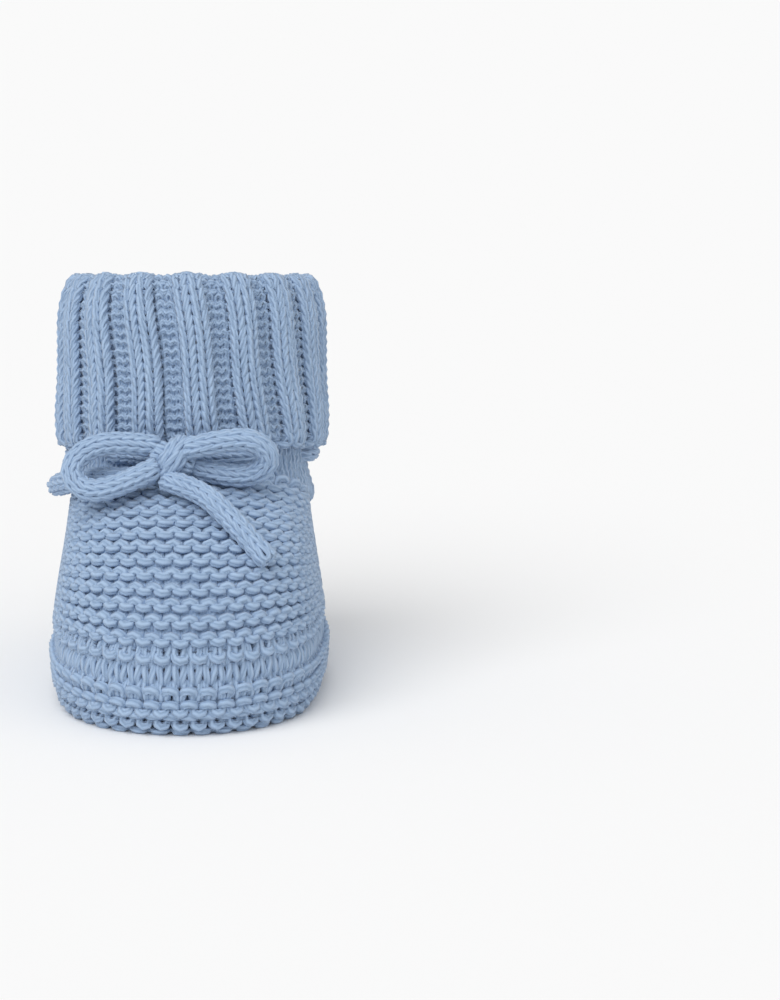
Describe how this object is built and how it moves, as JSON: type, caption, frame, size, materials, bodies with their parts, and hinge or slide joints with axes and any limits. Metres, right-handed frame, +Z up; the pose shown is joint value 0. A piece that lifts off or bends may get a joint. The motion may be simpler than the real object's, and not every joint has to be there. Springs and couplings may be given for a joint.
{
  "type": "baby bootie",
  "caption": "Hand-knitted baby bootie with garter-stitch foot, turned-down ribbed cuff and a knitted cord tied in a bow",
  "frame": {"origin": "on the ground under the middle of the bootie's bounding box, the bow's free loops and tails left out", "axes": "+Z up, the toe towards -Y and the heel towards +Y, +X to the right seen from the front of the toe"},
  "size_m": [0.0598, 0.0924, 0.0885],
  "materials": {
    "sole_knit": "matt",
    "foot_knit": "matt",
    "leg_knit": "matt",
    "rib_knit": "matt",
    "seam_yarn": "matt",
    "cord_yarn": "matt"
  },
  "bodies": {
    "foot": {"sole_panel": "sole_knit", "sole_border": "sole_knit", "sole_seam": "seam_yarn", "rim_welt": "foot_knit", "stockinette_band": "foot_knit", "instep_panel": "foot_knit", "quarter_left": "foot_knit", "quarter_right": "foot_knit", "instep_seam_left": "seam_yarn", "instep_seam_right": "seam_yarn", "heel_seam": "seam_yarn", "eyelet_band": "leg_knit", "leg_tube": "leg_knit", "leg_seam": "seam_yarn", "ankle_cord": "cord_yarn", "bow_knot": "cord_yarn"},
    "cuff": {"turned_cuff": "rib_knit", "cuff_edge": "rib_knit", "cuff_seam": "seam_yarn"},
    "left_bow": {"bow_loop_left": "cord_yarn", "cord_tail_left": "cord_yarn"},
    "right_bow": {"bow_loop_right": "cord_yarn"},
    "right_tail": {"cord_tail_right": "cord_yarn"}
  },
  "joints": [
    {"name": "cuff_turned_up", "type": "slide", "parent": "foot", "child": "cuff", "axis": [0, 0.1736, 0.9848], "range_m": [0, 0.03]},
    {"name": "left_bow_lift", "type": "hinge", "parent": "foot", "child": "left_bow", "pos_m": [-0.0027, -0.0154, 0.052], "axis": [0, 1, 0], "range_deg": [0, 30]},
    {"name": "right_bow_lift", "type": "hinge", "parent": "foot", "child": "right_bow", "pos_m": [-0.0027, -0.0154, 0.052], "axis": [0, -1, 0], "range_deg": [0, 30]},
    {"name": "right_tail_lift", "type": "hinge", "parent": "foot", "child": "right_tail", "pos_m": [-0.0027, -0.0154, 0.052], "axis": [-1, 0, 0], "range_deg": [0, 50]}
  ]
}
